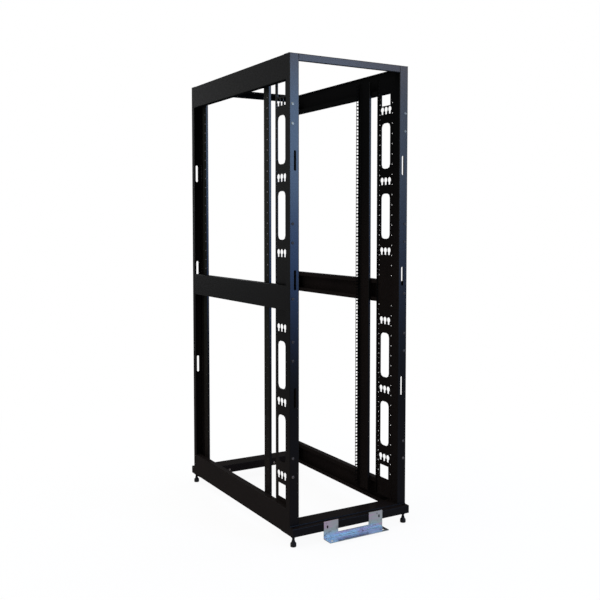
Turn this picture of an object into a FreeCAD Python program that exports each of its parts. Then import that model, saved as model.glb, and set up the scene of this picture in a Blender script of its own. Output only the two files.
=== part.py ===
import FreeCAD, Part
import math
import os
from FreeCAD import Vector

# Four post open frame rack, 42 units high, for 19 inch equipment.
# Millimetres, +Z up.  The rear of the rack is the -Y side, where the cable
# panels and the floor bracket are.  The origin is on the floor, in the
# middle of the box round the whole rack.

os.makedirs("parts", exist_ok=True)

# ---------------------------------------------------------------- sizes
frame_depth = 988.0            # rear face of the rear posts to front face of the front posts
frame_height = 1988.0          # floor to the top of the frame
frame_sheet = 2.0              # sheet that posts, members and beams are folded from
bend_radius = 1.0              # inner radius of every fold
bend_facets = 2                # flat strips that make up each fold

post_face_width = 44.0         # flange seen from the front or the rear
post_side_depth = 30.0         # outer side flange, where the beams butt
post_return_depth = 38.0       # inner flange
post_lip = 10.0                # stiffening lip on the inner flange
post_lap = 12.0                # how far a beam laps the side flange, in a notch
post_slot_width = 11.0
post_slot_height = 82.0
post_slot_inset = 25.0         # slot centre from the outer side face
lowest_post_slot_height = 608.0     # centre of the lowest slot above the floor
post_slot_pitch = 478.0
post_slot_count = 3

top_member_height = 30.0
top_member_depth = 47.0
top_member_lip = 8.0           # lip under its face
top_member_back_lip = 10.0     # lip along the inner edge of its top

base_underside = 45.0          # the levelling feet hold the base this high
base_deck_height = 85.0        # deck that the posts stand on, above the floor
base_step = 5.0                # the ledge outside the posts lies this much lower
base_ledge = 26.0              # ledge outside the posts
base_lip = 11.0                # lips along the underside, clear of the feet
base_inner_depth = 76.0        # deck inside the post faces
foot_plate_length = 44.0
foot_plate_thickness = 4.0

beam_depth = 29.0              # folded depth of the side beams
beam_lip = 19.0
top_beam_flange = 10.0         # narrow fold along the top of the top beams
top_beam_height = 101.0
middle_beam_height = 100.5
middle_beam_bottom = 963.0
bottom_beam_height = 105.0

rack_unit_height = 44.45
holes_per_unit = 3
first_hole_height = 6.35       # lowest hole centre above the foot of its unit
hole_pitch = 15.875            # between the holes of one unit
hole_side = 9.5
hole_inset = 6.55              # hole centre from the free edge of the mounting flange
rail_gap = 452.0               # clear width between the mounting flanges
rail_sheet = 2.0
rail_flange = 26.5
rail_web_depth = 68.0
rail_lip = 11.5
rail_to_beam = 11.5            # between the web of a rail and the beam beside it
rear_rail_inset = 297.5        # mounting face behind the rear face of the frame
front_rail_inset = 39.0        # mounting face behind the front face of the frame

rail_bracket_height = 64.0
rail_bracket_sheet = 3.0
rail_bracket_depth = 36.0
rail_bracket_clearance = 1.5   # left between a bracket and the web of its rail

panel_sheet = 1.5
panel_near_edge = 42.0         # from the rear face of the frame
panel_width = 131.3
panel_lip = 9.0
panel_hole_line = 117.7        # centre line of the large cut-outs, same origin
oval_width = 62.0
oval_height = 199.0
oval_radius = 18.0
oval_facets = 2                # flat strips that make up each corner of an oval
lowest_keyhole_height = 261.8  # centre of the lowest row above the floor
keyhole_row_pitch = 310.0
keyhole_spacing = 27.0
keyhole_head = 22.5
keyhole_slot = 12.0
keyhole_height = 32.0
keyhole_head_sides = 8
window_height = 58.0
lower_window_offset = 65.0     # window centre below the first keyhole row
upper_window_offset = 50.0     # window centre above the last keyhole row

foot_inset_side = 15.0         # foot centre from the outer side face
foot_outset = 3.0              # foot centre outside the post face
foot_pad_diameter = 26.0
foot_pad_height = 9.0
foot_cone_height = 17.0
foot_neck_diameter = 15.0
foot_pad_chamfer = 2.0
foot_pad_sides = 12            # flat sides of the moulded glide
foot_stem_diameter = 12.0
foot_stem_sides = 8
foot_stem_top = 74.0
weld_nut_flats = 19.0
weld_nut_height = 10.0

bracket_length = 295.0
bracket_sheet = 3.0
bracket_height = 73.5
bracket_bottom = 12.0          # underside of the flange above the floor
bracket_flange = 52.0
bracket_tab = 70.0
bracket_web_height = 21.0      # plate left under the window between the tabs
bracket_bolt_inset = 17.5      # bolt slot centre from the end of the bracket
bracket_bolt_width = 7.0
bracket_bolt_height = 13.0
anchor_hole = 13.0
anchor_end_inset = 19.5        # anchor hole centre from the end of the bracket
anchor_edge_inset = 16.0       # anchor hole centre from the flange's free edge

# ------------------------------------------------------- worked out from them
rail_web_outer_x = rail_gap / 2 + rail_flange
beam_inner_x = rail_web_outer_x + rail_to_beam
half_width = beam_inner_x + beam_depth
reach_rear = base_ledge + bracket_flange
rear_y = (reach_rear - base_ledge - frame_depth) / 2
front_y = rear_y + frame_depth
middle_y = rear_y + frame_depth / 2
opening_top = frame_height - top_member_height
post_top = frame_height - frame_sheet
ledge_height = base_deck_height - base_step
rail_bottom = base_deck_height
rail_units = int((opening_top - rail_bottom) / rack_unit_height)
rail_top = rail_bottom + rail_units * rack_unit_height
keyhole_reach = rail_top - upper_window_offset - window_height - lowest_keyhole_height
keyhole_rows = 1 + int(keyhole_reach / keyhole_row_pitch)
beam_start = post_side_depth - post_lap
beam_levels = {
    "top": (frame_height - top_beam_height, top_beam_height),
    "middle": (middle_beam_bottom, middle_beam_height),
    "bottom": (base_underside, bottom_beam_height),
}
cut_margin = 5.0               # how far a cutter runs past what it cuts
slot_corner = 1 / 3            # cut at the ends of a slot, as a share of its width
left_side = Vector(1, 0, 0)    # normal of the mirror plane between left and right
rear_side = Vector(0, 1, 0)    # normal of the mirror plane between rear and front
foot_centre = Vector(foot_inset_side - half_width, rear_y - foot_outset, 0)


# ---------------------------------------------------------------- helpers
def rounded_path(corners, radii, facets):
    """The path with each inner corner swept in flat strips round the given radius."""
    points = [corners[0]]
    for before, corner, after, radius in zip(corners, corners[1:], corners[2:], radii):
        back = (before - corner).normalize()
        ahead = (after - corner).normalize()
        half_angle = back.getAngle(ahead) / 2
        centre = corner + (back + ahead).normalize() * (radius / math.sin(half_angle))
        first = corner + back * (radius / math.tan(half_angle)) - centre
        turn = math.pi - 2 * half_angle
        if back.cross(ahead).z > 0:
            turn = -turn
        for step in range(facets + 1):
            angle = turn * step / facets
            x = first.x * math.cos(angle) - first.y * math.sin(angle)
            y = first.x * math.sin(angle) + first.y * math.cos(angle)
            points.append(centre + Vector(x, y, 0))
    points.append(corners[-1])
    return points


def flat_face(points):
    """Face inside a closed run of points."""
    return Part.Face(Part.makePolygon(points + points[:1]))


def offset_corners(corners, distance):
    """Corners of the path that runs parallel on the left of the given one."""
    up = Vector(0, 0, 1)
    shifted = []
    for index, corner in enumerate(corners):
        sides = []
        if index > 0:
            sides.append(up.cross((corner - corners[index - 1]).normalize()))
        if index < len(corners) - 1:
            sides.append(up.cross((corners[index + 1] - corner).normalize()))
        mitre = sum(sides, Vector())
        shifted.append(corner + mitre * (distance * len(sides) / mitre.dot(mitre)))
    return shifted


def fold_path(corners, left_radius, right_radius):
    """The path with its corners folded, by radius of the turns to left and right."""
    radii = []
    for before, corner, after in zip(corners, corners[1:], corners[2:]):
        turns_left = (corner - before).cross(after - corner).z > 0
        radii.append(left_radius if turns_left else right_radius)
    return rounded_path(corners, radii, bend_facets)


def folded_face(points, sheet):
    """Section of a sheet folded along a path; the sheet lies on the path's left."""
    corners = [Vector(x, y, 0) for x, y in points]
    front = fold_path(corners, bend_radius + sheet, bend_radius)
    back = fold_path(offset_corners(corners, sheet), bend_radius, bend_radius + sheet)
    return flat_face(front + back[::-1])


def standing_bar(face, bottom, top):
    """A section drawn in plan, run upwards from bottom to top."""
    bar = face.extrude(Vector(0, 0, top - bottom))
    bar.translate(Vector(0, 0, bottom))
    return bar


def bar_across(face, start, end):
    """A section drawn as (depth, height), run along X from start to end."""
    bar = face.extrude(Vector(0, 0, end - start))
    bar.rotate(Vector(), Vector(1, 1, 1), 120)
    bar.translate(Vector(start, 0, 0))
    return bar


def bar_along_depth(face, start, end):
    """A section drawn as (width, height), run along Y from start to end."""
    bar = face.extrude(Vector(0, 0, start - end))
    bar.rotate(Vector(), Vector(1, 0, 0), 90)
    bar.translate(Vector(0, start, 0))
    return bar


def block(x_range, y_range, z_range):
    """A box between the given lowest and highest coordinates."""
    size = [high - low for low, high in (x_range, y_range, z_range)]
    return Part.makeBox(*size, Vector(x_range[0], y_range[0], z_range[0]))


def rectangle(width, height):
    """A face in plan, centred on the origin."""
    return Part.makePlane(width, height, Vector(-width / 2, -height / 2, 0))


def rounded_rectangle(width, height, radius, facets):
    """The same with rounded corners; the outline starts below its middle."""
    x = width / 2
    y = height / 2
    corners = [(0, -y), (x, -y), (x, y), (-x, y), (-x, -y), (0, -y)]
    outline = rounded_path([Vector(a, b, 0) for a, b in corners], [radius] * 4, facets)
    return flat_face(outline[1:-1])


def faceted_turning(outline, sides):
    """Solid with flat sides round the Z axis, from its (radius, height) outline."""
    rings = [polygon(radius, sides, height) for radius, height in outline]
    faces = [flat_face(rings[0]), flat_face(rings[-1])]
    for low, high in zip(rings, rings[1:]):
        for index in range(sides):
            faces.append(flat_face([low[index - 1], low[index], high[index], high[index - 1]]))
    return Part.makeSolid(Part.makeShell(faces))


def slot_face(width, height):
    """An upright slot, its ends cut off at the corners."""
    return rounded_rectangle(width, height, width * slot_corner, 1)


def polygon(radius, sides, height=0.0):
    """Corners of a level regular polygon round the Z axis."""
    corners = []
    for index in range(sides):
        angle = (index + 0.5) * 2 * math.pi / sides
        corners.append(Vector(radius * math.cos(angle), radius * math.sin(angle), height))
    return corners


def polygon_over(flats, sides):
    """The same, given by the distance across its flats."""
    return polygon(flats / 2 / math.cos(math.pi / sides), sides)


def keyhole_face():
    """Round head with a narrower slot below it, centred on the origin."""
    head_y = (keyhole_height - keyhole_head) / 2
    head = flat_face(polygon_over(keyhole_head, keyhole_head_sides))
    head.translate(Vector(0, head_y, 0))
    slot_start = Vector(-keyhole_slot / 2, -keyhole_height / 2, 0)
    slot = Part.makePlane(keyhole_slot, keyhole_height / 2 + head_y, slot_start)
    return head.fuse(slot).removeSplitter().Faces[0]


def punch_facing_y(face, x, z, y_range):
    """Cutter with a face drawn as (width, height), run along Y."""
    cutter = bar_along_depth(face, y_range[0] - cut_margin, y_range[1] + cut_margin)
    cutter.translate(Vector(x, 0, z))
    return cutter


def punch_facing_x(face, y, z, x_range):
    """Cutter with a face drawn as (depth, height), run along X."""
    cutter = bar_across(face, x_range[0] - cut_margin, x_range[1] + cut_margin)
    cutter.translate(Vector(0, y, z))
    return cutter


def left_right(shape):
    """The left piece and its mirror image on the right."""
    return {"left": shape, "right": shape.mirror(Vector(), left_side)}


def rear_front(shape):
    """The rear piece and its mirror image at the front."""
    return {"rear": shape, "front": shape.mirror(Vector(0, middle_y, 0), rear_side)}


def export(name, shape):
    """Write one sub-part as a STEP file."""
    shape.exportStep("parts/" + name + ".step")


# ---------------------------------------------------------------- sub-parts
def make_post():
    """Rear left post: folded corner section with lacing slots and beam notches."""
    outer_x = -half_width
    inner_x = outer_x + post_face_width
    section = folded_face([
        (outer_x, rear_y + post_side_depth),
        (outer_x, rear_y),
        (inner_x, rear_y),
        (inner_x, rear_y + post_return_depth),
        (inner_x - post_lip, rear_y + post_return_depth),
    ], frame_sheet)
    post = standing_bar(section, base_deck_height, post_top)
    slot = slot_face(post_slot_width, post_slot_height)
    sheet_range = (rear_y, rear_y + frame_sheet)
    for index in range(post_slot_count):
        z = lowest_post_slot_height + index * post_slot_pitch
        post = post.cut(punch_facing_y(slot, outer_x + post_slot_inset, z, sheet_range))
    notch_x = (outer_x - cut_margin, outer_x + frame_sheet)
    notch_y = (rear_y + beam_start, rear_y + post_side_depth + cut_margin)
    for bottom, height in beam_levels.values():
        post = post.cut(block(notch_x, notch_y, (bottom, bottom + height)))
    return post


def make_top_member():
    """Rear top member: angle whose top covers the posts and whose face fits between them."""
    near = rear_y
    far = rear_y + top_member_depth
    section = folded_face([
        (far, frame_height - top_member_back_lip),
        (far, frame_height),
        (near, frame_height),
        (near, opening_top),
        (near + top_member_lip, opening_top),
    ], frame_sheet)
    member = bar_across(section, -half_width, half_width)
    room_x = (-half_width - cut_margin, post_face_width - half_width)
    room = block(room_x, (near - cut_margin, far + cut_margin), (opening_top - cut_margin, post_top))
    for cutter in left_right(room).values():
        member = member.cut(cutter)
    return member


def closed_channel(path):
    """Channel across the whole frame, given by its outer path, with end plates."""
    section = folded_face(path, frame_sheet)
    channel = bar_across(section, -half_width, half_width)
    corners = [Vector(y, z, 0) for y, z in path]
    end_face = flat_face(fold_path(corners, bend_radius + frame_sheet, bend_radius))
    left_end = bar_across(end_face, -half_width, frame_sheet - half_width)
    right_end = bar_across(end_face, half_width - frame_sheet, half_width)
    return channel.fuse([left_end, right_end]).removeSplitter()


def make_base_member():
    """Rear base member: stepped channel with a threaded plate for each foot."""
    near = rear_y - base_ledge
    far = rear_y + base_inner_depth
    path = [
        (far - base_lip, base_underside),
        (far, base_underside),
        (far, base_deck_height),
        (rear_y, base_deck_height),
        (rear_y, ledge_height),
        (near, ledge_height),
        (near, base_underside),
        (near + base_lip, base_underside),
    ]
    base = closed_channel(path)
    plates = left_right(make_foot_plate())
    base = base.fuse(list(plates.values())).removeSplitter()
    stem_hole = flat_face(polygon(foot_stem_diameter / 2, foot_stem_sides))
    hole = standing_bar(stem_hole, base_underside - cut_margin, base_deck_height - cut_margin)
    hole.translate(foot_centre)
    for cutter in left_right(hole).values():
        base = base.cut(cutter)
    return base


def make_foot_plate():
    """Plate with a welded nut, inside the left end of the rear base member."""
    x_range = (frame_sheet - half_width, foot_plate_length - half_width)
    y_range = (rear_y - base_ledge + frame_sheet, rear_y + base_inner_depth - frame_sheet)
    low = base_underside + frame_sheet
    top = low + foot_plate_thickness
    plate = block(x_range, y_range, (low, top))
    nut_face = flat_face(polygon_over(weld_nut_flats, 6))
    nut = standing_bar(nut_face, top, top + weld_nut_height)
    nut.translate(foot_centre)
    return plate.fuse(nut)


def make_side_beam(level):
    """Left beam from rear post to front post, open and lipped on its inner side."""
    bottom, height = beam_levels[level]
    outer_x = -half_width
    inner_x = -beam_inner_x
    top = bottom + height
    upper = [(inner_x, top - beam_lip), (inner_x, top)]
    if level == "top":
        upper = [(outer_x + top_beam_flange, top)]
    section = folded_face(upper + [
        (outer_x, top),
        (outer_x, bottom),
        (inner_x, bottom),
        (inner_x, bottom + beam_lip),
    ], frame_sheet)
    return bar_along_depth(section, rear_y + beam_start, front_y - beam_start)


def notch_beam(beam, member_depth, z_range):
    """Room for the members that cross both ends of a left beam."""
    x_range = (-half_width - cut_margin, cut_margin - beam_inner_x)
    notch = block(x_range, (rear_y, rear_y + member_depth), z_range)
    for cutter in rear_front(notch).values():
        beam = beam.cut(cutter)
    return beam


def make_side_beams():
    """The three beams of the left side, by level."""
    above = (post_top, frame_height + cut_margin)
    below = (base_underside - cut_margin, base_deck_height)
    return {
        "top": notch_beam(make_side_beam("top"), top_member_depth, above),
        "middle": make_side_beam("middle"),
        "bottom": notch_beam(make_side_beam("bottom"), base_inner_depth, below),
    }


def make_rail(mounting_y):
    """Left 19 inch rail: Z section with three square holes in every rack unit."""
    web_x = -rail_web_outer_x + rail_sheet
    lip_y = mounting_y - rail_web_depth
    flange_back = mounting_y - rail_sheet
    section = folded_face([
        (web_x - rail_lip, lip_y),
        (web_x, lip_y),
        (web_x, flange_back),
        (-rail_gap / 2, flange_back),
    ], rail_sheet)
    rail = standing_bar(section, rail_bottom, rail_top)
    half_hole = hole_side / 2
    column_x = -rail_gap / 2 - hole_inset
    x_range = (column_x - half_hole, column_x + half_hole)
    y_range = (flange_back - cut_margin, mounting_y + cut_margin)
    holes = []
    for unit in range(rail_units):
        first_z = rail_bottom + unit * rack_unit_height + first_hole_height
        for index in range(holes_per_unit):
            z = first_z + index * hole_pitch
            holes.append(block(x_range, y_range, (z - half_hole, z + half_hole)))
    return rail.cut(Part.makeCompound(holes))


def make_rail_bracket(mounting_y, bottom):
    """Angle that ties the outward lip of a left rail to the beam beside it."""
    lip_back = mounting_y - rail_web_depth + rail_sheet
    section = folded_face([
        (-beam_inner_x, lip_back + rail_bracket_depth),
        (-beam_inner_x, lip_back),
        (-rail_web_outer_x - rail_bracket_clearance, lip_back),
    ], rail_bracket_sheet)
    return standing_bar(section, bottom, bottom + rail_bracket_height)


def make_cable_panel():
    """Left vertical cable panel with ovals, keyhole rows and end windows."""
    outer_x = -beam_inner_x
    near = rear_y + panel_near_edge
    far = near + panel_width
    section = folded_face([
        (outer_x + panel_lip, far),
        (outer_x, far),
        (outer_x, near),
    ], panel_sheet)
    panel = standing_bar(section, rail_bottom, rail_top)
    sheet_range = (outer_x, outer_x + panel_sheet)
    line_y = rear_y + panel_hole_line
    cutters = []
    oval = rounded_rectangle(oval_width, oval_height, oval_radius, oval_facets)
    beam_middle = middle_beam_bottom + middle_beam_height / 2
    for row in range(keyhole_rows - 1):
        z = lowest_keyhole_height + (row + 0.5) * keyhole_row_pitch
        if abs(z - beam_middle) > (oval_height + middle_beam_height) / 2:
            cutters.append(punch_facing_x(oval, line_y, z, sheet_range))
    keyhole = keyhole_face()
    highest_z = lowest_keyhole_height + (keyhole_rows - 1) * keyhole_row_pitch
    for row in range(keyhole_rows):
        z = lowest_keyhole_height + row * keyhole_row_pitch
        for column in (-1, 0, 1):
            y = line_y + column * keyhole_spacing
            cutters.append(punch_facing_x(keyhole, y, z, sheet_range))
    window = rectangle(oval_width, window_height)
    for z in (lowest_keyhole_height - lower_window_offset, highest_z + upper_window_offset):
        cutters.append(punch_facing_x(window, line_y, z, sheet_range))
    return panel.cut(Part.makeCompound(cutters))


def make_foot():
    """Rear left levelling foot: faceted glide on a threaded stem."""
    pad = foot_pad_diameter / 2
    cone_top = foot_pad_height + foot_cone_height
    outline = [
        (pad - foot_pad_chamfer, 0),
        (pad, foot_pad_chamfer),
        (pad, foot_pad_height),
        (foot_neck_diameter / 2, cone_top),
    ]
    glide = faceted_turning(outline, foot_pad_sides)
    stem_face = flat_face(polygon(foot_stem_diameter / 2, foot_stem_sides))
    foot = glide.fuse(standing_bar(stem_face, cone_top, foot_stem_top))
    foot.translate(foot_centre)
    return foot


def make_floor_bracket():
    """Angle on the rear base member with two tabs and two floor anchor holes."""
    face_y = rear_y - base_ledge
    top = bracket_bottom + bracket_height
    section = folded_face([
        (face_y - bracket_flange, bracket_bottom),
        (face_y, bracket_bottom),
        (face_y, top),
    ], bracket_sheet)
    return bar_across(section, -bracket_length / 2, bracket_length / 2)


def punch_bracket(bracket):
    """The window, the bolt slots and the anchor holes of the floor bracket."""
    face_y = rear_y - base_ledge
    window_x = bracket_length / 2 - bracket_tab
    window_z = (bracket_bottom + bracket_web_height, bracket_bottom + bracket_height + cut_margin)
    y_range = (face_y - bracket_sheet, face_y)
    wide_y = (y_range[0] - cut_margin, y_range[1] + cut_margin)
    bracket = bracket.cut(block((-window_x, window_x), wide_y, window_z))
    slot = slot_face(bracket_bolt_width, bracket_bolt_height)
    bolt_x = bracket_bolt_inset - bracket_length / 2
    bolt_z = (base_underside + ledge_height) / 2
    bolt_hole = punch_facing_y(slot, bolt_x, bolt_z, y_range)
    anchor_x = anchor_end_inset - bracket_length / 2
    anchor_y = face_y - bracket_flange + anchor_edge_inset
    anchor_start = Vector(anchor_x, anchor_y, bracket_bottom - cut_margin)
    anchor = Part.makeCylinder(anchor_hole / 2, bracket_sheet + 2 * cut_margin, anchor_start)
    for cutter in (bolt_hole, anchor):
        for hole in left_right(cutter).values():
            bracket = bracket.cut(hole)
    return bracket


# ---------------------------------------------------------------- the rack
def build():
    """Make every sub-part and write it."""
    for end, post in rear_front(make_post()).items():
        for side, shape in left_right(post).items():
            export(end + "_" + side + "_post", shape)
    for end, shape in rear_front(make_top_member()).items():
        export(end + "_top_member", shape)
    for end, shape in rear_front(make_base_member()).items():
        export(end + "_base_member", shape)
    for end, foot in rear_front(make_foot()).items():
        for side, shape in left_right(foot).items():
            export(end + "_" + side + "_foot", shape)
    for level, beam in make_side_beams().items():
        for side, shape in left_right(beam).items():
            export(side + "_" + level + "_beam", shape)
    bracket_levels = {}
    for level, (bottom, height) in beam_levels.items():
        bracket_levels[level] = bottom + height - rail_bracket_height
    bracket_levels["top"] = frame_height - top_beam_height
    mounting_faces = {"rear": rear_y + rear_rail_inset, "front": front_y - front_rail_inset}
    for end, mounting_y in mounting_faces.items():
        for side, shape in left_right(make_rail(mounting_y)).items():
            export(end + "_" + side + "_rail", shape)
        for level, bottom in bracket_levels.items():
            bracket = make_rail_bracket(mounting_y, bottom)
            for side, shape in left_right(bracket).items():
                export(end + "_" + side + "_rail_bracket_" + level, shape)
    for side, shape in left_right(make_cable_panel()).items():
        export(side + "_cable_panel", shape)
    export("floor_bracket", punch_bracket(make_floor_bracket()))


build()
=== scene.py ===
"""Finishes, fasteners, feet and stage for a four post open frame rack."""
import math

import bmesh
import bpy
from bpy.props import FloatProperty, FloatVectorProperty, IntProperty, PointerProperty
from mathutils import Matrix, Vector


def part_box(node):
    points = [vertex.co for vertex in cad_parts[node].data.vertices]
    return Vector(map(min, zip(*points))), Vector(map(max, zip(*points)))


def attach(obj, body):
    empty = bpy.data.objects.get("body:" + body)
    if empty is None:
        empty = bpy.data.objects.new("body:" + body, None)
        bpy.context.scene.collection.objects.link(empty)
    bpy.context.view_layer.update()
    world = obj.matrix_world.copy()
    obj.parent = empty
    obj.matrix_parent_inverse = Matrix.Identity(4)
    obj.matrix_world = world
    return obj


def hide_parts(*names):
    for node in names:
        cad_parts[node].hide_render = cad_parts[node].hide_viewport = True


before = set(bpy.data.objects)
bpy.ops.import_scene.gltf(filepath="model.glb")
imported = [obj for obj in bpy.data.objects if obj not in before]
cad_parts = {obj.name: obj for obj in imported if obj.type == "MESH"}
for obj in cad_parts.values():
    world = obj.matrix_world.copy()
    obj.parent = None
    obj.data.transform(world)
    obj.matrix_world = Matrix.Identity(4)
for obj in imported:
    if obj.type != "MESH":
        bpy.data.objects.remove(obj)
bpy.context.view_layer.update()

bl_info = {
    "name": "Open frame rack",
    "version": (1, 0, 0),
    "blender": (4, 5, 0),
    "location": "View3D > Sidebar > Rack",
    "description": "Finishes and small parts of a four post open frame rack",
    "category": "Object",
}

RACK_UNIT = 0.04445
ENDS = ("rear", "front")
SIDES = ("left", "right")
CORNERS = [end + "_" + side for end in ENDS for side in SIDES]


# ------------------------------------------------------------------ settings
def colour_property(name, description, default):
    """A colour that the user can pick."""
    return FloatVectorProperty(
        name=name, description=description, subtype="COLOR", size=3, min=0, max=1, default=default)


def share_property(name, description, default):
    """A share from 0 to 1."""
    return FloatProperty(
        name=name, description=description, subtype="FACTOR", min=0, max=1, default=default)


def length_property(name, description, lowest, default):
    """A length in metres."""
    return FloatProperty(
        name=name, description=description, unit="LENGTH", min=lowest, default=default)


def power_property(name, description, default):
    """The power of a lamp in watts."""
    return FloatProperty(name=name, description=description, unit="POWER", min=0, default=default)


class FinishSettings(bpy.types.PropertyGroup):
    """Colours and sheen of the paint and the plating."""
    coat_colour: colour_property(
        "Powder coat", "Colour of the baked black coat", (0.0034, 0.0034, 0.0035))
    dust_colour: colour_property(
        "Dust", "Colour of the fine dust on the lower parts", (0.0110, 0.0082, 0.0074))
    # painted light: the outer faces of the rails get a lighter colour for the light they catch
    rail_painted_light_colour: colour_property(
        "Rail coat with painted light", "Colour of the outer faces of the rails", (0.0085, 0.0088, 0.0072))
    # painted sheen: how strongly each kind of face shines stands in for the light, the end faces most
    painted_side_sheen: share_property(
        "Sheen, sides", "How much the coat shines on faces turned sideways", 0.120)
    painted_end_sheen: share_property(
        "Sheen, ends", "How much the coat shines on faces at the rear and the front", 0.42)
    grain: length_property(
        "Grain size", "Width of one grain of the baked powder", 0.0003, 0.0016)
    zinc_silver: colour_property(
        "Zinc, silver", "Colour of the plating where it is thin", (0.240, 0.245, 0.250))
    zinc_blue: colour_property(
        "Zinc, blue", "Colour of the plating where it is thick", (0.235, 0.285, 0.285))


class ScrewSettings(bpy.types.PropertyGroup):
    """Machine screws in the faces of the posts and inside the base."""
    head: length_property(
        "Head diameter", "Across the button head", 0.003, 0.0124)
    rise: length_property(
        "Head height", "How far the head stands proud", 0.0005, 0.0030)
    edge: length_property(
        "Edge distance", "From the side face of a post to a screw", 0.005, 0.0145)
    seed: IntProperty(
        name="Seed", description="Changes how far each screw is turned", default=4)


class UnitSettings(bpy.types.PropertyGroup):
    """What repeats once in every rack unit."""
    panel_hole: length_property(
        "Panel hole", "Diameter of the holes in the cable panels", 0.002, 0.0052)
    small_hole: length_property(
        "Small hole", "Diameter of the holes halfway between them", 0.001, 0.0032)
    hole_spacing: length_property(
        "Column spacing", "Between the two columns of holes in a panel", 0.02, 0.0922)
    hole_inset: length_property(
        "Column inset", "From the front edge of a panel to the nearest column", 0.002, 0.0096)
    mark: length_property(
        "Unit mark", "Diameter of the studs that count the units on a rail", 0.001, 0.0052)
    mark_height: length_property(
        "Mark height", "From the foot of a rack unit to its mark", 0, 0.0302)
    web_inset: length_property(
        "Web inset", "From the edge of a rail's outer lip to its web", 0.001, 0.0095)


class FootSettings(bpy.types.PropertyGroup):
    """Levelling feet."""
    pitch: length_property(
        "Thread pitch", "From one turn of the thread to the next", 0.0005, 0.00175)
    nut_flats: length_property(
        "Nut", "Across the flats of the lock nut", 0.01, 0.018)
    nut_height: length_property(
        "Nut height", "Thickness of the lock nut", 0.002, 0.006)


class StageSettings(bpy.types.PropertyGroup):
    """Lamps and camera."""
    key: power_property(
        "Window light", "Power of the cool lamp behind the rack", 100)
    low_key: power_property(
        "Low window light", "Power of the bluer lamp below it", 65)
    upper: power_property(
        "Upper light", "Power of the pale lamp above it", 55)
    fill: power_property(
        "Ceiling light", "Power of the neutral lamp above the rack", 45)
    sides: power_property(
        "Side lights", "Power of the lamps to the right and in front; the left one has half", 75)
    ambient: FloatProperty(
        name="Ambient", description="Strength of the light from all round",
        min=0, default=0.45)
    lens: FloatProperty(
        name="Focal length", description="Focal length of the camera",
        unit="CAMERA", min=10, default=49.76)


# ------------------------------------------------------------------- nodes
class Sum:
    """A number socket; arithmetic on it adds Math nodes to its tree."""

    def __init__(self, sheet, socket):
        self.sheet = sheet
        self.socket = socket

    def math(self, operation, first, second):
        settings = {"operation": operation}
        return self.sheet.number("ShaderNodeMath", settings, {0: first, 1: second})

    def __add__(self, other):
        return self.math("ADD", self, other)

    def __sub__(self, other):
        return self.math("SUBTRACT", self, other)

    def __mul__(self, other):
        return self.math("MULTIPLY", self, other)

    def __radd__(self, other):
        return self.math("ADD", other, self)

    def __rsub__(self, other):
        return self.math("SUBTRACT", other, self)

    def __rmul__(self, other):
        return self.math("MULTIPLY", other, self)

    def sign(self):
        return self.math("SIGN", self, 0.0)

    def larger(self, other):
        return self.math("MAXIMUM", self, other)


class NodeSheet:
    """Adds nodes to one tree."""

    def __init__(self, tree):
        self.tree = tree
        tree.nodes.clear()

    @staticmethod
    def pick(sockets, key):
        """A socket by its place, its identifier or its name."""
        if isinstance(key, int):
            return sockets[key]
        for socket in sockets:
            if socket.identifier == key:
                return socket
        return sockets[key]

    def node(self, kind, settings=None, sockets=None):
        """A node of that type, with its settings made before its sockets are filled."""
        node = self.tree.nodes.new(kind)
        for name, value in (settings or {}).items():
            setattr(node, name, value)
        for key, value in (sockets or {}).items():
            target = self.pick(node.inputs, key)
            source = value.socket if isinstance(value, Sum) else value
            if isinstance(source, bpy.types.NodeSocket):
                self.tree.links.new(source, target)
            else:
                target.default_value = source
        return node

    def out(self, kind, settings=None, sockets=None, output=0):
        """One output socket of a new node."""
        return self.pick(self.node(kind, settings, sockets).outputs, output)

    def number(self, kind, settings=None, sockets=None, output=0):
        """The same for a number, ready for arithmetic."""
        return Sum(self, self.out(kind, settings, sockets, output))

    def parts(self, vector):
        """The X, Y and Z of a vector, ready for arithmetic."""
        outputs = self.node("ShaderNodeSeparateXYZ", {}, {"Vector": vector}).outputs
        return [Sum(self, outputs[axis]) for axis in "XYZ"]

    def noise(self, place, scale, detail=2.0):
        """Smooth noise from 0 to 1, with features about 1 / scale metres wide."""
        sockets = {"Vector": place, "Scale": scale, "Detail": detail}
        return self.number("ShaderNodeTexNoise", {}, sockets)

    def blend(self, factor, first, second):
        """A colour between two."""
        sockets = {"Factor_Float": factor, "A_Color": first, "B_Color": second}
        return self.out("ShaderNodeMix", {"data_type": "RGBA"}, sockets, "Result_Color")

    def ease(self, value, start, end, low=0.0, high=1.0):
        """A number that goes smoothly from low to high as value goes from start to end."""
        settings = {"interpolation_type": "SMOOTHSTEP"}
        sockets = {
            "Value": value, "From Min": start, "From Max": end, "To Min": low, "To Max": high}
        return self.number("ShaderNodeMapRange", settings, sockets)


def rgba(colour):
    """A colour with its alpha."""
    return (*colour, 1.0)


def surface_sheet(name):
    """An empty material, its node sheet and the object coordinates on it."""
    material = bpy.data.materials.new(name)
    material.use_nodes = True
    sheet = NodeSheet(material.node_tree)
    place = sheet.out("ShaderNodeTexCoord", {}, {}, "Object")
    return material, sheet, place


def finish_surface(sheet, sockets):
    """The shader of a material, from the values of its sockets."""
    shader = sheet.out("ShaderNodeBsdfPrincipled", {}, sockets)
    sheet.node("ShaderNodeOutputMaterial", {}, {"Surface": shader})


def bump_normal(sheet, height, depth):
    """Normal of a surface whose relief is that deep."""
    return sheet.out("ShaderNodeBump", {}, {"Height": height, "Distance": depth}, "Normal")


def varied(middle, *spreads):
    """A number round a middle one, moved by noises; each is given with its whole spread."""
    for noise, spread in spreads:
        middle = middle + (noise - 0.5) * spread
    return middle


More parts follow.
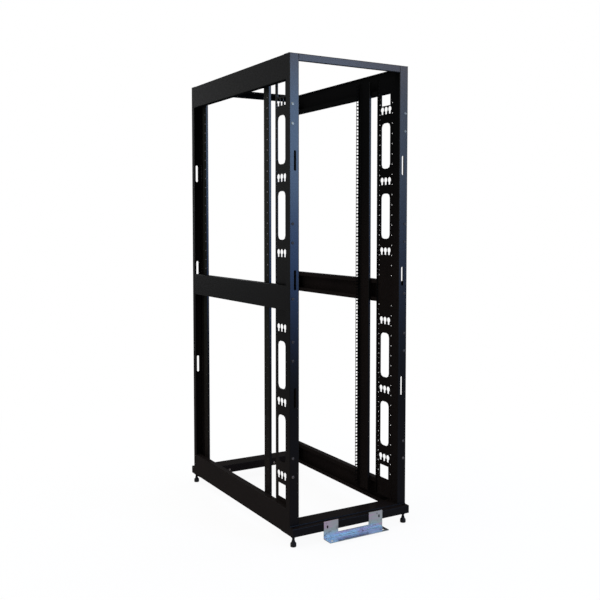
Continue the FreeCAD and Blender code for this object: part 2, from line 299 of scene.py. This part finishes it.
def seen_rays(sheet):
    """1 for what the camera sees, also in a reflection or through glass, and 0 for lighting."""
    rays = sheet.node("ShaderNodeLightPath").outputs
    indirect = Sum(sheet, rays["Is Glossy Ray"]) + Sum(sheet, rays["Is Transmission Ray"])
    settings = {"operation": "ADD", "use_clamp": True}
    return sheet.number("ShaderNodeMath", settings, {0: rays["Is Camera Ray"], 1: indirect})


# ------------------------------------------------------------------ finishes
# Heights are in metres above the floor: a change starts at the first of a pair
# and is complete at the second. Colours are linear.
FACING = (0.05, 0.95)           # from a face turned edge on to one that looks straight out

DUST_HEIGHTS = (1.75, 0.95)
DUST_WIPED = 0.8                # how much lower the dust starts on the outer faces
DUST_PATCHES = 0.6              # share of the dust that lies in patches
DUST_OFF_ENDS = 0.5             # share that doesn't stay on the end faces
# Painted sheen: the coat shines more high up and on outer faces, standing in for the light's fall-off
# and for shade inside.
SIDE_PAINTED_SHEEN_HEIGHTS = (0.1, 1.8)
SIDE_PAINTED_SHEEN_LOW = 0.25          # share of the painted sheen near the floor
END_PAINTED_SHEEN_HEIGHTS = (0.45, 1.75)
END_PAINTED_SHEEN_LOW = 0.1
RAIL_SIDE_SHARE = 0.55          # sheen of the rails, as a share of the frame's
RAIL_END_SHARE = 0.75

BLUE_HEIGHTS = (0.072, 0.030)
BLUE_EDGE = 0.05                # how far the edge of the blue wanders
STREAK_SCALE = (9.0, 60.0, 60.0)
VIOLET = (0.30, 0.22, 0.27, 1.0)
VIOLET_SHARE = 0.85
DULL_ZINC = (0.10, 0.09, 0.10, 1.0)
DULL_SHARE = 0.6
FOLD_FACING = (-0.1, -0.3)      # product of the normal's Y and Z, which only a fold has

# Screws: painted glint high up and on the left, painted shade in the middle, dust low down.
PAINTED_GLINT_HEIGHTS = (1.35, 1.65)
PAINTED_GLINT_SIDES = (0.1, -0.1, 0.5, 1.0)     # from right to left, and how much painted glint each side keeps
DUSTY_HEIGHTS = (0.47, 0.12)
SCREW_PAINTED_SHADE = (0.022, 0.020, 0.020, 1.0)
SCREW_PAINTED_GLINT = (0.24, 0.26, 0.24, 1.0)
SCREW_DUSTY = (0.105, 0.085, 0.075, 1.0)

# unit marks: grey high up, as dark as the coat towards the bottom
MARK_HEIGHTS = (0.93, 1.12)
MARK_THIN = (0.090, 0.082, 0.094, 1.0)
MARK_THICK = (0.165, 0.148, 0.168, 1.0)
MARK_LOW_DOWN = (0.0070, 0.0068, 0.0066, 1.0)

NYLON_DARK = (0.004, 0.004, 0.004, 1.0)
NYLON_PALE = (0.008, 0.007, 0.007, 1.0)

FLOOR_PAINT = (0.9, 0.9, 0.9, 1.0)
FLOOR_GLOW = (0.7, 2.6, 0.93, 1.0)      # from near the rack to far away, and the share of white
PLAIN_WHITE = (1.0, 1.0, 1.0, 1.0)


def outward_faces(sheet, place, both_ways):
    """The height, and how far a face looks out of the rack to the side or up, and to the end."""
    x, y, height = sheet.parts(place)
    across, along, upwards = sheet.parts(sheet.out("ShaderNodeTexCoord", {}, {}, "Normal"))
    sideways = (x.sign() * across).larger(upwards)
    endways = along * along if both_ways else y.sign() * along
    return height, sheet.ease(sideways, *FACING), sheet.ease(endways, *FACING)


def powder_coat(name, rail=False):
    """Baked black powder: fine grain, dust low down, a soft painted sheen outside that fades towards
    the floor, dull inside.
    """
    finish = bpy.context.scene.rack_finish
    material, sheet, place = surface_sheet(name)
    height, sideways, endways = outward_faces(sheet, place, rail)
    grain = sheet.noise(place, 1 / finish.grain, 1.0)
    cloud = sheet.noise(place, 6.0, 3.0)
    wiped = sideways.larger(endways)
    dust = sheet.ease(height + wiped * DUST_WIPED, *DUST_HEIGHTS)
    dust = dust * (cloud * DUST_PATCHES + (1 - DUST_PATCHES)) * (1.0 - endways * DUST_OFF_ENDS)
    coat = rgba(finish.coat_colour)
    painted_side_sheen = finish.painted_side_sheen
    painted_end_sheen = finish.painted_end_sheen
    if rail:
        # painted light on the outer faces of the rails
        coat = sheet.blend(sideways, coat, rgba(finish.rail_painted_light_colour))
        painted_side_sheen = painted_side_sheen * RAIL_SIDE_SHARE
        painted_end_sheen = painted_end_sheen * RAIL_END_SHARE
    # painted sheen: fades towards the floor, none on inward faces
    side_painted_coat = sideways * sheet.ease(height, *SIDE_PAINTED_SHEEN_HEIGHTS, SIDE_PAINTED_SHEEN_LOW, 1.0) * painted_side_sheen
    end_painted_coat = endways * sheet.ease(height, *END_PAINTED_SHEEN_HEIGHTS, END_PAINTED_SHEEN_LOW, 1.0) * painted_end_sheen
    finish_surface(sheet, {
        "Base Color": sheet.blend(dust, coat, rgba(finish.dust_colour)),
        "Roughness": varied(0.38, (cloud, 0.2), (grain, 0.16)),
        "Specular IOR Level": 0.0,
        "Coat Weight": side_painted_coat.larger(end_painted_coat) * varied(1.0, (grain, 0.5)),
        "Coat Roughness": 0.26,
        "Normal": bump_normal(sheet, grain, 0.00012),
    })
    return material


def zinc_plate(name):
    """Blue passivated zinc: silver high up, blue below, violet streaks, dull specks and fold."""
    finish = bpy.context.scene.rack_finish
    material, sheet, place = surface_sheet(name)
    _, along, upwards = sheet.parts(sheet.out("ShaderNodeTexCoord", {}, {}, "Normal"))
    fold = sheet.ease(along * upwards, *FOLD_FACING)
    height = sheet.parts(place)[2]
    stretched = sheet.out("ShaderNodeMapping", {}, {"Vector": place, "Scale": STREAK_SCALE})
    streaks = sheet.noise(stretched, 1.0, 4.0)
    blotches = sheet.noise(place, 55.0, 4.0)
    spangle = sheet.noise(place, 160.0, 3.0)
    thick = sheet.ease(varied(height, (blotches, BLUE_EDGE)), *BLUE_HEIGHTS)
    colour = sheet.blend(thick, rgba(finish.zinc_silver), rgba(finish.zinc_blue))
    colour = sheet.blend(sheet.ease(streaks, 0.48, 0.62) * VIOLET_SHARE, colour, VIOLET)
    colour = sheet.blend(sheet.ease(blotches, 0.58, 0.70) * DULL_SHARE, colour, DULL_ZINC)
    finish_surface(sheet, {
        "Base Color": colour,
        "Metallic": 1.0,
        "Roughness": varied(0.34, (streaks, 0.3), (spangle, 0.08)) + fold * 0.4,
        "Normal": bump_normal(sheet, spangle, 0.00003),
    })
    return material


def screw_finish(name):
    """Zinc screws: painted glint high up, most of all on the left, painted shade at the middle, dusty
    low down.
    """
    material, sheet, place = surface_sheet(name)
    across, _, height = sheet.parts(place)
    speck = sheet.noise(place, 700.0)
    # painted glint and painted shade by height and side
    painted_glint = sheet.ease(height, *PAINTED_GLINT_HEIGHTS) * sheet.ease(across, *PAINTED_GLINT_SIDES)
    colour = sheet.blend(painted_glint, SCREW_PAINTED_SHADE, SCREW_PAINTED_GLINT)
    colour = sheet.blend(sheet.ease(height, *DUSTY_HEIGHTS), colour, SCREW_DUSTY)
    finish_surface(sheet, {
        "Base Color": colour,
        "Metallic": 0.7,
        "Roughness": varied(0.54, (speck, 0.2)),
        "Normal": bump_normal(sheet, speck, 0.00005),
    })
    return material


def mark_finish(name):
    """Grey paint on the unit marks, thin in places and as dark as the coat in the lower half."""
    material, sheet, place = surface_sheet(name)
    wear = sheet.noise(place, 500.0)
    grey_share = sheet.ease(sheet.parts(place)[2], *MARK_HEIGHTS)
    finish_surface(sheet, {
        "Base Color": sheet.blend(grey_share, MARK_LOW_DOWN, sheet.blend(wear, MARK_THIN, MARK_THICK)),
        "Roughness": varied(0.6, (wear, 0.2)),
        "Specular IOR Level": 0.2,
        "Normal": bump_normal(sheet, wear, 0.00004),
    })
    return material


def foot_finish(name):
    """Moulded black nylon glide with a satin skin."""
    material, sheet, place = surface_sheet(name)
    pits = sheet.noise(place, 900.0)
    cloud = sheet.noise(place, 90.0)
    finish_surface(sheet, {
        "Base Color": sheet.blend(cloud, NYLON_DARK, NYLON_PALE),
        "Roughness": varied(0.575, (cloud, 0.15)),
        "Specular IOR Level": 0.1,
        "Normal": bump_normal(sheet, pits, 0.00006),
    })
    return material


def floor_finish(name):
    """White floor: it shows white to the camera and keeps a soft shadow near the rack."""
    material, sheet, place = surface_sheet(name)
    distance = sheet.number("ShaderNodeVectorMath", {"operation": "LENGTH"}, {0: place}, "Value")
    cloud = sheet.noise(place, 1.5)
    glow = seen_rays(sheet) * sheet.ease(distance, *FLOOR_GLOW)
    paint = sheet.out("ShaderNodeBsdfPrincipled", {}, {
        "Base Color": FLOOR_PAINT,
        "Roughness": varied(0.8, (cloud, 0.1)),
        "Specular IOR Level": 0.1,
    })
    white = sheet.out("ShaderNodeEmission", {}, {"Color": PLAIN_WHITE, "Strength": 1.0})
    mixed = sheet.out("ShaderNodeMixShader", {}, {0: glow, 1: paint, 2: white})
    sheet.node("ShaderNodeOutputMaterial", {}, {"Surface": mixed})
    return material


def material_named(name, make):
    """A finish, made the first time it is asked for."""
    found = bpy.data.materials.get(name)
    return found or make(name)


# ------------------------------------------------------------------- meshes
CREASE_ANGLE = math.radians(40.0)
SMALL_SEGMENTS = 12         # round studs, screw heads and punched holes


def add_object(name, mesh):
    """A new object at the origin."""
    item = bpy.data.objects.new(name, mesh)
    bpy.context.scene.collection.objects.link(item)
    return item


def mesh_from(name, form):
    """The finished mesh of a bmesh, with its normals outwards."""
    bmesh.ops.recalc_face_normals(form, faces=form.faces)
    mesh = bpy.data.meshes.new(name)
    form.to_mesh(mesh)
    form.free()
    return mesh


def add_ring(form, radius_at, height, segments):
    """A level ring of points, whose radius is a function of the angle."""
    ring = []
    for index in range(segments):
        angle = 2 * math.pi * index / segments
        radius = radius_at(angle)
        ring.append(form.verts.new((radius * math.cos(angle), radius * math.sin(angle), height)))
    return ring


def join_rings(form, rings):
    """Faces from each ring to the next, and across the two ends."""
    for low, high in zip(rings, rings[1:]):
        for index in range(len(low)):
            form.faces.new((low[index - 1], low[index], high[index], high[index - 1]))
    form.faces.new(rings[0][::-1])
    form.faces.new(rings[-1])


def lathe(form, profile, segments):
    """A turned solid from its (radius, height) profile."""
    join_rings(form, [
        add_ring(form, lambda angle: radius, height, segments) for radius, height in profile])


def hexagon(flats):
    """Radius of a hexagon by angle, given across its flats."""
    step = math.pi / 3
    return lambda angle: flats / 2 / math.cos((angle + step / 2) % step - step / 2)


def smooth_faces(mesh):
    """Smooth shading, with the sharper edges kept crisp."""
    mesh.shade_smooth()
    mesh.set_sharp_from_angle(angle=CREASE_ANGLE)


def dress(node, material):
    """A finish for a CAD node, in the slots of its object."""
    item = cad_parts[node]
    if not item.material_slots:
        item.data.materials.append(None)
    for slot in item.material_slots:
        slot.link = "OBJECT"
        slot.material = material


def settle(piece, nodes=()):
    """The piece rides on the rack, and the CAD nodes it stands in for are hidden."""
    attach(piece, "root")
    if nodes:
        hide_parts(*nodes)


# ------------------------------------------------------------ geometry nodes
def new_tree(name, inputs):
    """A geometry tree with those named inputs, and its node sheet."""
    tree = bpy.data.node_groups.new(name, "GeometryNodeTree")
    tree.interface.new_socket(name="Geometry", in_out="INPUT", socket_type="NodeSocketGeometry")
    for label, kind in inputs:
        tree.interface.new_socket(name=label, in_out="INPUT", socket_type="NodeSocket" + kind)
    tree.interface.new_socket(name="Geometry", in_out="OUTPUT", socket_type="NodeSocketGeometry")
    sheet = NodeSheet(tree)
    return sheet, sheet.node("NodeGroupInput").outputs


def close_tree(sheet, geometry, finish):
    """The last nodes of every tree."""
    real = sheet.out("GeometryNodeRealizeInstances", {}, {"Geometry": geometry})
    painted = sheet.out("GeometryNodeSetMaterial", {}, {"Geometry": real, "Material": finish})
    sheet.node("NodeGroupOutput", {}, {0: painted})
    return sheet.tree


def grow(item, tree, values):
    """Run a tree on an object and keep its result as a plain mesh."""
    modifier = item.modifiers.new(tree.name, "NODES")
    modifier.node_group = tree
    for socket in tree.interface.items_tree:
        if socket.in_out == "INPUT" and socket.name in values:
            modifier[socket.identifier] = values[socket.name]
    graph = bpy.context.evaluated_depsgraph_get()
    mesh = bpy.data.meshes.new_from_object(item.evaluated_get(graph), depsgraph=graph)
    item.modifiers.remove(modifier)
    item.data = mesh


def punching_tree():
    """Round holes in rows and columns, cut along X through a sheet."""
    sheet, given = new_tree("punched_holes", [
        ("First Hole", "Vector"), ("Hole Diameter", "Float"), ("Row Pitch", "Float"),
        ("Rows", "Int"), ("Column Spacing", "Float"), ("Columns", "Int"),
        ("Reach", "Float"), ("Finish", "Material"),
    ])
    up = sheet.out("ShaderNodeCombineXYZ", {}, {"Z": given["Row Pitch"]})
    along = sheet.out("ShaderNodeCombineXYZ", {}, {"Y": given["Column Spacing"]})
    rows = sheet.out("GeometryNodeMeshLine", {}, {
        "Count": given["Rows"], "Start Location": given["First Hole"], "Offset": up})
    columns = sheet.out("GeometryNodeMeshLine", {}, {"Count": given["Columns"], "Offset": along})
    grid = sheet.out("GeometryNodeInstanceOnPoints", {}, {"Points": columns, "Instance": rows})
    places = sheet.out("GeometryNodeRealizeInstances", {}, {"Geometry": grid})
    radius = Sum(sheet, given["Hole Diameter"]) * 0.5
    punch = sheet.out("GeometryNodeMeshCylinder", {}, {
        "Vertices": SMALL_SEGMENTS, "Radius": radius, "Depth": given["Reach"]}, "Mesh")
    punches = sheet.out("GeometryNodeInstanceOnPoints", {}, {
        "Points": places, "Instance": punch, "Rotation": (0.0, math.pi / 2, 0.0)})
    cutters = sheet.out("GeometryNodeRealizeInstances", {}, {"Geometry": punches})
    settings = {"operation": "DIFFERENCE", "solver": "EXACT"}
    sockets = {"Mesh 1": given["Geometry"], "Mesh 2": cutters}
    cut = sheet.out("GeometryNodeMeshBoolean", settings, sockets, "Mesh")
    return close_tree(sheet, cut, given["Finish"])


def stud_tree():
    """A stud on every point, its axis along the point's facing, each turned at random."""
    sheet, given = new_tree("studs", [("Stud", "Object"), ("Seed", "Int"), ("Finish", "Material")])
    stud = sheet.out("GeometryNodeObjectInfo", {}, {"Object": given["Stud"]}, "Geometry")
    settings = {"data_type": "FLOAT_VECTOR"}
    facing = sheet.out("GeometryNodeInputNamedAttribute", settings, {"Name": "facing"})
    aligned = sheet.out("FunctionNodeAlignRotationToVector", {"axis": "Z"}, {"Vector": facing})
    spin = sheet.out("FunctionNodeRandomValue", {"data_type": "FLOAT"}, {
        "Min_001": 0.0, "Max_001": math.pi / 3, "Seed": given["Seed"]}, "Value_001")
    turn = sheet.out("FunctionNodeAxisAngleToRotation", {}, {"Axis": (0.0, 0.0, 1.0), "Angle": spin})
    rotation = sheet.out("FunctionNodeRotateRotation", {"rotation_space": "LOCAL"}, {
        "Rotation": aligned, "Rotate By": turn})
    placed = sheet.out("GeometryNodeInstanceOnPoints", {}, {
        "Points": given["Geometry"], "Instance": stud, "Rotation": rotation})
    return close_tree(sheet, placed, given["Finish"])


def whole_units(low, high):
    """How many rack units fill the height of a box."""
    return int((high.z - low.z) / RACK_UNIT + 0.5)


def points_mesh(name, spots):
    """Loose points, each with the direction that it faces."""
    mesh = bpy.data.meshes.new(name)
    mesh.from_pydata([place for place, facing in spots], [], [])
    layer = mesh.attributes.new("facing", "FLOAT_VECTOR", "POINT")
    for index, (place, facing) in enumerate(spots):
        layer.data[index].vector = facing
    return mesh


# ------------------------------------------------------------------ operators
class RACK_OT_frame_finish(bpy.types.Operator):
    """Give the frame, the cable panels, the rails and their brackets the powder coat"""
    bl_idname = "rack.frame_finish"
    bl_label = "Coat the frame"

    def execute(self, context):
        frame_coat = material_named("powder_coat_frame", powder_coat)
        rail_coat = material_named("powder_coat_rail", lambda name: powder_coat(name, rail=True))
        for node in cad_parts:
            if node.endswith(("_post", "_member", "_beam", "_panel")):
                dress(node, frame_coat)
            elif "_rail" in node:
                dress(node, rail_coat)
        return {"FINISHED"}


class RACK_OT_punched_panels(bpy.types.Operator):
    """Punch the round holes in the cable panels"""
    bl_idname = "rack.punched_panels"
    bl_label = "Punch the panels"

    REACH = 0.01            # length of a punch, well over the thickness of the sheet
    WELD = 0.00001          # points nearer than this are one point

    def execute(self, context):
        units = context.scene.rack_units
        tree = punching_tree()
        for side in SIDES:
            node = side + "_cable_panel"
            low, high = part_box(node)
            outer_x = low.x if side == "left" else high.x
            front_y = high.y - units.hole_inset
            shared = {
                "Row Pitch": RACK_UNIT, "Rows": whole_units(low, high),
                "Column Spacing": -units.hole_spacing, "Reach": self.REACH,
                "Finish": bpy.data.materials["powder_coat_frame"],
            }
            piece = self.copy_of(node)
            grow(piece, tree, {
                "First Hole": (outer_x, front_y, low.z + RACK_UNIT / 2),
                "Hole Diameter": units.panel_hole, "Columns": 2, **shared})
            grow(piece, tree, {
                "First Hole": (outer_x, front_y, low.z + RACK_UNIT),
                "Hole Diameter": units.small_hole, "Columns": 1, **shared})
            settle(piece, [node])
        return {"FINISHED"}

    def copy_of(self, node):
        """A copy of a plain sheet, ready to be punched."""
        form = bmesh.new()
        form.from_mesh(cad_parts[node].data)
        bmesh.ops.remove_doubles(form, verts=form.verts, dist=self.WELD)
        return add_object(node + "_punched", mesh_from(node + "_punched", form))


class RACK_OT_unit_marks(bpy.types.Operator):
    """Set a small stud on the web of each rail in every rack unit"""
    bl_idname = "rack.unit_marks"
    bl_label = "Set the unit marks"

    RISE = 0.0006           # height of a stud
    # (radius, height) as shares of a stud's
    PROFILE = ((1.0, 0.0), (1.0, 0.4), (0.8, 1.0))
    SEED = 1

    def execute(self, context):
        units = context.scene.rack_units
        finish = material_named("unit_mark_paint", mark_finish)
        stud = add_object("unit_mark", self.stud_mesh(units.mark / 2))
        spots = []
        for corner in CORNERS:
            low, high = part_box(corner + "_rail")
            left = "left" in corner
            x = low.x + units.web_inset if left else high.x - units.web_inset
            facing = (-1, 0, 0) if left else (1, 0, 0)
            for unit in range(whole_units(low, high)):
                z = low.z + unit * RACK_UNIT + units.mark_height
                spots.append(((x, (low.y + high.y) / 2, z), facing))
        piece = add_object("unit_marks", points_mesh("unit_marks", spots))
        grow(piece, stud_tree(), {"Stud": stud, "Seed": self.SEED, "Finish": finish})
        bpy.data.objects.remove(stud)
        settle(piece)
        return {"FINISHED"}

    def stud_mesh(self, radius):
        """Flat stud with a rounded edge."""
        form = bmesh.new()
        lathe(form, [(radius * x, self.RISE * z) for x, z in self.PROFILE], SMALL_SEGMENTS)
        mesh = mesh_from("unit_mark", form)
        smooth_faces(mesh)
        return mesh


class RACK_OT_screws(bpy.types.Operator):
    """Set the screws in the faces of the posts and inside the base"""
    bl_idname = "rack.screws"
    bl_label = "Set the screws"

    HEIGHTS = (1.787, 1.710, 1.312, 1.236, 1.011, 0.837, 0.760, 0.3625, 0.286)
    BASE_X = 0.129          # the two screws in each base member, from the middle
    BASE_HEIGHT = 0.060
    # (radius, height) of the head as shares of the whole
    DOME = ((1.0, 0.0), (1.0, 0.3), (0.9, 0.68), (0.68, 0.94), (0.48, 1.0))
    SOCKET_FLATS = 0.72     # share of the head's radius
    SOCKET_FLOOR = 0.35     # share of the head's height

    def execute(self, context):
        screws = context.scene.rack_screws
        finish = material_named("screw_zinc", screw_finish)
        head = add_object("screw_head", self.head_mesh(screws))
        spots = []
        for corner in CORNERS:
            low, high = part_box(corner + "_post")
            x = low.x + screws.edge if "left" in corner else high.x - screws.edge
            y = low.y if "rear" in corner else high.y
            facing = (0, -1, 0) if "rear" in corner else (0, 1, 0)
            for z in self.HEIGHTS:
                spots.append(((x, y, z), facing))
        for end, inwards in (("rear", 1), ("front", -1)):
            low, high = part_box(end + "_base_member")
            y = high.y if inwards > 0 else low.y
            for x in (-self.BASE_X, self.BASE_X):
                spots.append(((x, y, self.BASE_HEIGHT), (0, inwards, 0)))
        piece = add_object("post_screws", points_mesh("post_screws", spots))
        grow(piece, stud_tree(), {"Stud": head, "Seed": screws.seed, "Finish": finish})
        bpy.data.objects.remove(head)
        settle(piece)
        return {"FINISHED"}

    def head_mesh(self, screws):
        """Button head with a hexagonal socket."""
        form = bmesh.new()
        radius = screws.head / 2
        rise = screws.rise
        rings = []
        for share, height in self.DOME:
            rings.append(add_ring(form, lambda angle: radius * share, rise * height, SMALL_SEGMENTS))
        socket = hexagon(radius * self.SOCKET_FLATS)
        for height in (rise, rise * self.SOCKET_FLOOR):
            rings.append(add_ring(form, socket, height, SMALL_SEGMENTS))
        join_rings(form, rings)
        mesh = mesh_from("screw_head", form)
        smooth_faces(mesh)
        return mesh


class RACK_OT_levelling_feet(bpy.types.Operator):
    """Turn the levelling feet with their threaded stems and lock nuts"""
    bl_idname = "rack.levelling_feet"
    bl_label = "Turn the feet"

    GLIDE_SEGMENTS = 40
    GLIDE_SHARE = 0.998     # share of the plain glide's width
    # (distance inside the glide's edge, height) up to the shoulder
    PAD = (
        (0.0030, 0.0), (0.0010, 0.0007), (0.0, 0.0026), (0.0, 0.0142), (0.0004, 0.0154),
        (0.0014, 0.0166), (0.0034, 0.0184))
    # (radius, height)
    NECK = ((0.0080, 0.0202), (0.0074, 0.0220), (0.0072, 0.0250), (0.0066, 0.0260))
    STEM_SEGMENTS = 20
    STEM_BOTTOM = 0.0245    # the stem starts inside the neck
    CORE = 0.0050           # radius of the stem at the bottom of the thread
    THREAD_DEPTH = 0.0009
    STEPS_PER_TURN = 4
    NUT_SEGMENTS = 36
    NUT_ROUND = 1.04        # radius that the lower corners are turned to, over half the flats
    NUT_CHAMFER = 0.0009
    NUT_GAP = 0.0002        # between the nut and the base

    def execute(self, context):
        finish = material_named("foot_nylon", foot_finish)
        for corner in CORNERS:
            low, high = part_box(corner + "_foot")
            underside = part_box(corner.split("_")[0] + "_base_member")[0].z
            form = bmesh.new()
            self.turn_glide(form, (high.x - low.x) / 2 * self.GLIDE_SHARE)
            self.cut_thread(form, context.scene.rack_feet.pitch, self.STEM_BOTTOM, high.z)
            self.add_nut(form, context.scene.rack_feet, underside)
            centre = (low + high) / 2
            bmesh.ops.translate(form, verts=form.verts, vec=(centre.x, centre.y, 0))
            mesh = mesh_from(corner + "_foot_turned", form)
            smooth_faces(mesh)
            piece = add_object(corner + "_foot_turned", mesh)
            mesh.materials.append(finish)
            settle(piece, [corner + "_foot"])
        return {"FINISHED"}

    def turn_glide(self, form, radius):
        """Deep round pad with sloping shoulders and a short neck."""
        pad = [(radius - inset, height) for inset, height in self.PAD]
        lathe(form, [*pad, *self.NECK], self.GLIDE_SEGMENTS)

    def cut_thread(self, form, pitch, bottom, top):
        """Threaded stem: a helical ridge on a round core."""
        steps = int((top - bottom) / pitch * self.STEPS_PER_TURN)
        rings = []
        for step in range(steps + 1):
            height = bottom + (top - bottom) * step / steps
            turns = height / pitch
            rings.append(add_ring(
                form, lambda angle: self.thread_radius(angle, turns), height, self.STEM_SEGMENTS))
        join_rings(form, rings)

    def thread_radius(self, angle, turns):
        """Radius of the stem at an angle, that many turns of the thread above the floor."""
        phase = (turns - angle / (2 * math.pi)) % 1.0
        return self.CORE + self.THREAD_DEPTH * (1 - abs(2 * phase - 1))

    def add_nut(self, form, feet, underside):
        """Hexagonal lock nut under the base, with its lower corners chamfered."""
        shape = hexagon(feet.nut_flats)
        bottom = underside - feet.nut_height
        turned = feet.nut_flats / 2 * self.NUT_ROUND
        chamfered = add_ring(form, lambda angle: min(shape(angle), turned), bottom, self.NUT_SEGMENTS)
        rings = [chamfered]
        for height in (self.NUT_CHAMFER, feet.nut_height - self.NUT_GAP):
            rings.append(add_ring(form, shape, bottom + height, self.NUT_SEGMENTS))
        join_rings(form, rings)


class RACK_OT_floor_bracket(bpy.types.Operator):
    """Plate the floor bracket"""
    bl_idname = "rack.floor_bracket"
    bl_label = "Plate the floor bracket"

    def execute(self, context):
        dress("floor_bracket", material_named("zinc_blue_plate", zinc_plate))
        return {"FINISHED"}


class RACK_OT_stage(bpy.types.Operator):
    """Lay the floor, hang the lamps and place the camera"""
    bl_idname = "rack.stage"
    bl_label = "Set the stage"

    FLOOR_RADIUS = 30.0
    FLOOR_SEGMENTS = 96
    # name, setting of the power and share of it, place, target, size and colour
    LAMPS = (
        ("window_lamp", "key", 1.0,
         (1.95, -4.2, 2.1), (1.95, 0.0, 2.1), (1.6, 1.3), (0.33, 0.57, 1.0)),
        ("low_window_lamp", "low_key", 1.0,
         (1.95, -4.2, 0.8), (1.95, 0.0, 0.8), (1.6, 1.2), (0.12, 0.34, 1.0)),
        ("upper_lamp", "upper", 1.0,
         (3.2, -4.2, 3.3), (3.2, 0.0, 3.3), (3.4, 1.0), (1.0, 0.90, 0.97)),
        ("ceiling_lamp", "fill", 1.0,
         (-1.6, 0.3, 3.6), (0.0, 0.0, 1.0), (2.4, 2.4), (1.0, 0.99, 0.97)),
        ("left_lamp", "sides", 0.5,
         (-4.2, 0.0, 1.9), (0.0, 0.0, 1.2), (2.6, 2.4), (0.92, 0.96, 1.0)),
        ("right_lamp", "sides", 1.0,
         (4.2, 0.0, 1.9), (0.0, 0.0, 1.2), (2.6, 2.4), (0.92, 0.96, 1.0)),
        ("front_lamp", "sides", 1.0,
         (0.0, 4.2, 1.9), (0.0, 0.0, 1.2), (2.6, 2.4), (0.92, 0.96, 1.0)),
    )
    CAMERA_PLACE = (-1.922, -3.346, 1.305)
    YAW = math.radians(30.23)           # from straight ahead towards the right
    PITCH = math.radians(-3.06)
    SHIFT = -0.05                       # of the picture, as a share of its width
    SENSOR_WIDTH = 36.0                 # in millimetres

    def execute(self, context):
        stage = context.scene.rack_stage
        self.lay_floor()
        self.light_world(context.scene)
        for name, setting, share, place, target, size, colour in self.LAMPS:
            power = getattr(stage, setting) * share
            self.hang_lamp(name, place, target, size, power, colour)
        self.place_camera(context.scene)
        return {"FINISHED"}

    def lay_floor(self):
        """A round floor, large enough to reach the horizon."""
        form = bmesh.new()
        bmesh.ops.create_circle(
            form, cap_ends=True, segments=self.FLOOR_SEGMENTS, radius=self.FLOOR_RADIUS)
        floor = add_object("studio_floor", mesh_from("studio_floor", form))
        if floor.data.polygons[0].normal.z < 0:
            floor.data.flip_normals()
        floor.data.materials.append(material_named("studio_white", floor_finish))

    def light_world(self, scene):
        """Even light from all round, and a white background where it is seen."""
        world = bpy.data.worlds.new("studio")
        world.use_nodes = True
        scene.world = world
        sheet = NodeSheet(world.node_tree)
        ambient = scene.rack_stage.ambient
        strength = ambient + seen_rays(sheet) * (1.0 - ambient)
        light = sheet.out("ShaderNodeBackground", {}, {"Color": PLAIN_WHITE, "Strength": strength})
        sheet.node("ShaderNodeOutputWorld", {}, {"Surface": light})

    def hang_lamp(self, name, place, target, size, power, colour):
        """A soft rectangular lamp turned towards its target."""
        lamp = bpy.data.lights.new(name, "AREA")
        lamp.shape = "RECTANGLE"
        lamp.size, lamp.size_y = size
        lamp.energy = power
        lamp.color = colour
        item = add_object(name, lamp)
        item.location = place
        item.rotation_euler = (Vector(target) - Vector(place)).to_track_quat("-Z", "Y").to_euler()

    def place_camera(self, scene):
        """At chest height, to the left of the rear."""
        camera = bpy.data.cameras.new("camera")
        camera.sensor_width = self.SENSOR_WIDTH
        camera.lens = scene.rack_stage.lens
        camera.shift_y = self.SHIFT
        item = add_object("camera", camera)
        item.location = self.CAMERA_PLACE
        ahead = Vector((
            math.sin(self.YAW) * math.cos(self.PITCH),
            math.cos(self.YAW) * math.cos(self.PITCH),
            math.sin(self.PITCH)))
        item.rotation_euler = ahead.to_track_quat("-Z", "Y").to_euler()
        scene.camera = item
        scene.view_settings.view_transform = "Standard"


class RACK_PT_sidebar(bpy.types.Panel):
    """Everything that makes up the rack, in order"""
    bl_idname = "RACK_PT_sidebar"
    bl_label = "Open frame rack"
    bl_space_type = "VIEW_3D"
    bl_region_type = "UI"
    bl_category = "Rack"

    def draw(self, context):
        for operator in OPERATORS:
            self.layout.operator(operator.bl_idname)
        for name, group in SETTINGS.items():
            box = self.layout.box()
            for prop in group.__annotations__:
                box.prop(getattr(context.scene, name), prop)


SETTINGS = {
    "rack_finish": FinishSettings,
    "rack_screws": ScrewSettings,
    "rack_units": UnitSettings,
    "rack_feet": FootSettings,
    "rack_stage": StageSettings,
}
OPERATORS = [
    RACK_OT_frame_finish,
    RACK_OT_punched_panels,
    RACK_OT_unit_marks,
    RACK_OT_screws,
    RACK_OT_levelling_feet,
    RACK_OT_floor_bracket,
    RACK_OT_stage,
]


def register():
    for item in [*SETTINGS.values(), *OPERATORS, RACK_PT_sidebar]:
        bpy.utils.register_class(item)
    for name, group in SETTINGS.items():
        setattr(bpy.types.Scene, name, PointerProperty(type=group))


def unregister():
    for name in SETTINGS:
        delattr(bpy.types.Scene, name)
    for item in [RACK_PT_sidebar, *reversed(OPERATORS), *SETTINGS.values()]:
        bpy.utils.unregister_class(item)


def main():
    """Register the add-on and run its operators in order."""
    register()
    for operator in OPERATORS:
        group, name = operator.bl_idname.split(".")
        getattr(getattr(bpy.ops, group), name)()


if __name__ == "__main__":
    main()
